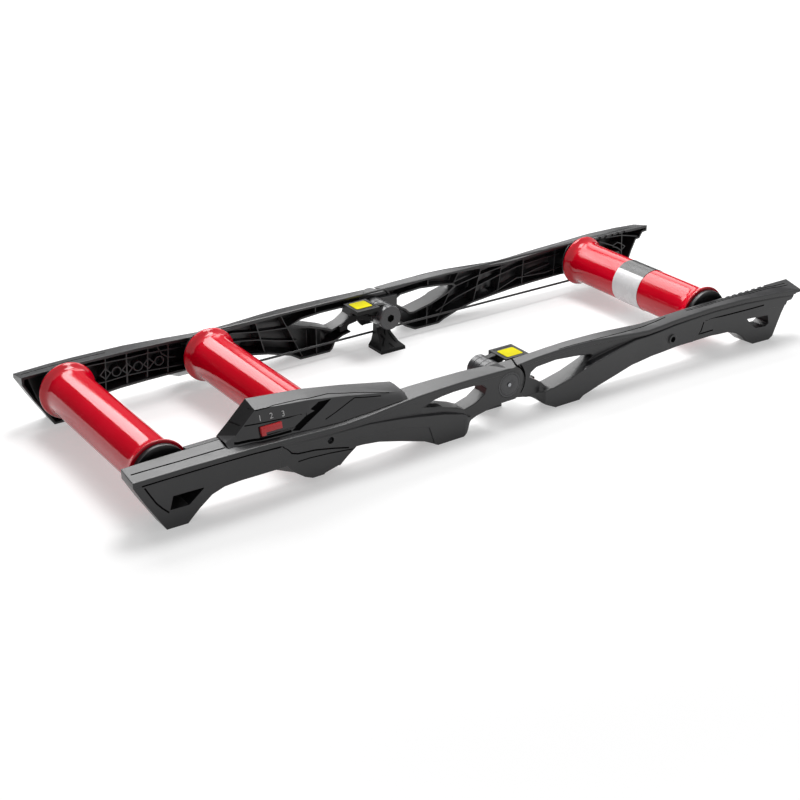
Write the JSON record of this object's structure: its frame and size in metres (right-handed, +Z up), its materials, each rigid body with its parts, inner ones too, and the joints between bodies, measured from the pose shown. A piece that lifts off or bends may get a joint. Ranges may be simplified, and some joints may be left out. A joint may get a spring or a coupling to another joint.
{
  "type": "bicycle rollers",
  "caption": "Folding bicycle training rollers: long plastic side frames, flared red drums, a round drive belt and a magnetic resistance unit with a slider",
  "frame": {"origin": "on the floor under the fold hinge, midway along the length and across the width", "axes": "+X towards the front drum, +Y towards the left side with the belt, +Z up"},
  "size_m": [1.41, 0.488, 0.155],
  "materials": {
    "frame_plastic": "satin, fine grain",
    "trim_plastic": "satin",
    "drum_coat": "smooth glossy red coat",
    "steel": "turned",
    "disc_metal": "turned",
    "barrel_plastic": "satin grey",
    "cover_plastic": "satin, fine grain",
    "slider_plastic": "semi-gloss red",
    "patch": "plain yellow",
    "band": "plain white film",
    "belt_rubber": "smooth round cord",
    "magnet_metal": "plated"
  },
  "bodies": {
    "rear_frame": {"frame_rear_left": "frame_plastic", "frame_rear_right": "frame_plastic", "rear_axle": "steel", "middle_axle": "steel", "middle_screw_left": "steel", "middle_screw_right": "steel", "hinge_pin_left": "steel", "hinge_pin_right": "steel", "hinge_disc_left": "barrel_plastic", "hinge_disc_right": "barrel_plastic", "barrel_cap_left": "barrel_plastic", "barrel_cap_right": "barrel_plastic", "centre_foot_left": "trim_plastic", "resistance_cover": "cover_plastic", "drive_belt": "belt_rubber"},
    "front_frame": {"frame_front_left": "frame_plastic", "frame_front_right": "frame_plastic", "front_axle": "steel", "centre_foot_right": "trim_plastic"},
    "rear_roller": {"rear_drum": "drum_coat", "rear_cap_left": "trim_plastic", "rear_cap_right": "trim_plastic", "rear_bearing_left": "steel", "rear_bearing_right": "steel"},
    "middle_roller": {"middle_drum": "drum_coat", "middle_cap_left": "trim_plastic", "middle_cap_right": "trim_plastic", "middle_bearing_left": "steel", "middle_bearing_right": "steel", "brake_disc": "disc_metal"},
    "front_roller": {"front_drum": "drum_coat", "front_cap_left": "trim_plastic", "front_cap_right": "trim_plastic", "front_bearing_left": "steel", "front_bearing_right": "steel", "drum_band": "band"},
    "lever_left": {"lever_left": "barrel_plastic", "lever_patch_left": "patch"},
    "lever_right": {"lever_right": "barrel_plastic", "lever_patch_right": "patch"},
    "resistance_slider": {"resistance_slider": "slider_plastic"},
    "magnet_carrier": {"magnet_carrier": "trim_plastic", "magnet_1": "magnet_metal", "magnet_2": "magnet_metal", "magnet_3": "magnet_metal"}
  },
  "joints": [
    {"name": "fold_hinge", "type": "hinge", "parent": "rear_frame", "child": "front_frame", "pos_m": [0, 0, 0.0674], "axis": [0, 1, 0], "range_deg": [0, 100], "deforming": ["drive_belt"]},
    {"name": "rear_roller_spin", "type": "hinge", "parent": "rear_frame", "child": "rear_roller", "pos_m": [-0.6345, 0, 0.0683], "axis": [0, 1, 0], "continuous": true},
    {"name": "middle_roller_spin", "type": "hinge", "parent": "rear_frame", "child": "middle_roller", "pos_m": [-0.3645, 0, 0.0683], "axis": [0, 1, 0], "continuous": true},
    {"name": "front_roller_spin", "type": "hinge", "parent": "front_frame", "child": "front_roller", "pos_m": [0.5055, 0, 0.0683], "axis": [0, 1, 0], "continuous": true},
    {"name": "left_lever_press", "type": "hinge", "parent": "rear_frame", "child": "lever_left", "pos_m": [0, 0.157, 0.0674], "axis": [0, -1, 0], "range_deg": [0, 8], "stiffness_Nm_per_rad": 2, "springref_deg": -2.86},
    {"name": "right_lever_press", "type": "hinge", "parent": "front_frame", "child": "lever_right", "pos_m": [0, -0.157, 0.0674], "axis": [0, 1, 0], "range_deg": [0, 8], "stiffness_Nm_per_rad": 2, "springref_deg": -2.86},
    {"name": "resistance_slide", "type": "slide", "parent": "rear_frame", "child": "resistance_slider", "axis": [1, 0, 0], "range_m": [0, 0.044]},
    {"name": "magnet_slide", "type": "slide", "parent": "rear_frame", "child": "magnet_carrier", "axis": [0, 0, -1], "range_m": [0, 0.0088]}
  ],
  "couplings": [
    {"joint": "front_roller_spin", "follows": "middle_roller_spin", "ratio": 1},
    {"joint": "magnet_slide", "follows": "resistance_slide", "ratio": 0.2}
  ]
}
